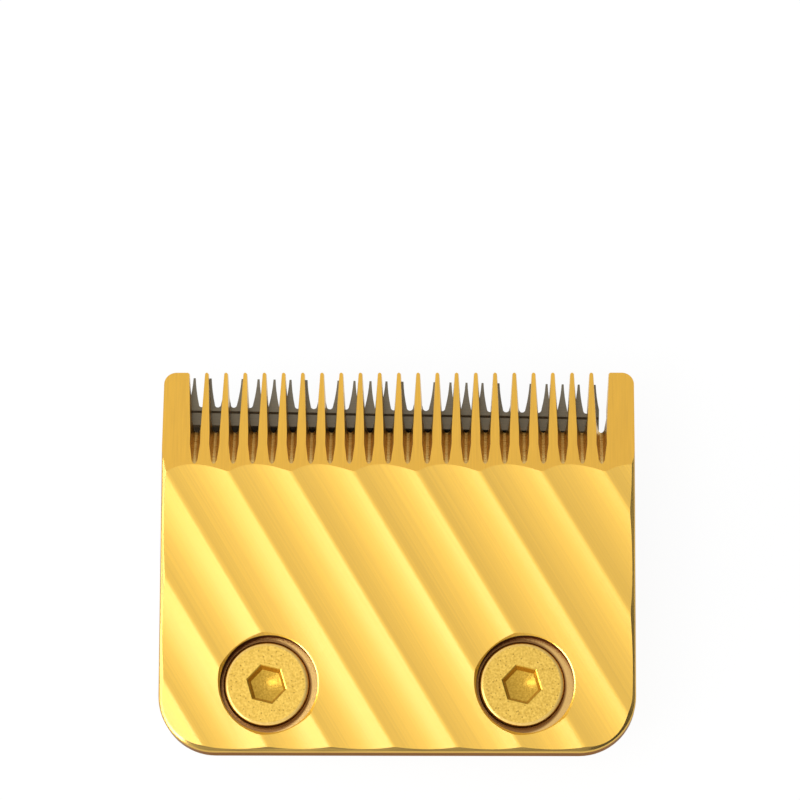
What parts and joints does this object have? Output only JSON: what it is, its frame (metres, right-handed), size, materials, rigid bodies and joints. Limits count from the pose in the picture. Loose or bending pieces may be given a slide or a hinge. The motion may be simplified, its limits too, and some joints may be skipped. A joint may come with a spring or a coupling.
{
  "type": "hair clipper blade",
  "caption": "Flat clipper blade set: diagonally fluted gold comb blade with slanted tooth slots, a toothed cutter that slides behind it, and recessed socket screws.",
  "frame": {"origin": "midway between the two screw holes, on the ground back of the comb blade", "axes": "+X along the tooth row, +Y to the tooth tips, +Z out of the fluted face"},
  "size_m": [0.0462, 0.0378, 0.0082],
  "materials": {
    "gold_comb": "brushed gold-coloured hard coating on ground steel",
    "black_cutter": "satin black coating on ground steel",
    "gold_screws": "grainy gold-coloured plating"
  },
  "bodies": {
    "comb": {"comb_blade": "gold_comb", "mounting_screws": "gold_screws"},
    "cutter": {"cutter_blade": "black_cutter"}
  },
  "joints": [
    {"name": "cutter_slide", "type": "slide", "parent": "comb", "child": "cutter", "axis": [1, 0, 0], "range_m": [-0.00017, 0.00263]}
  ]
}
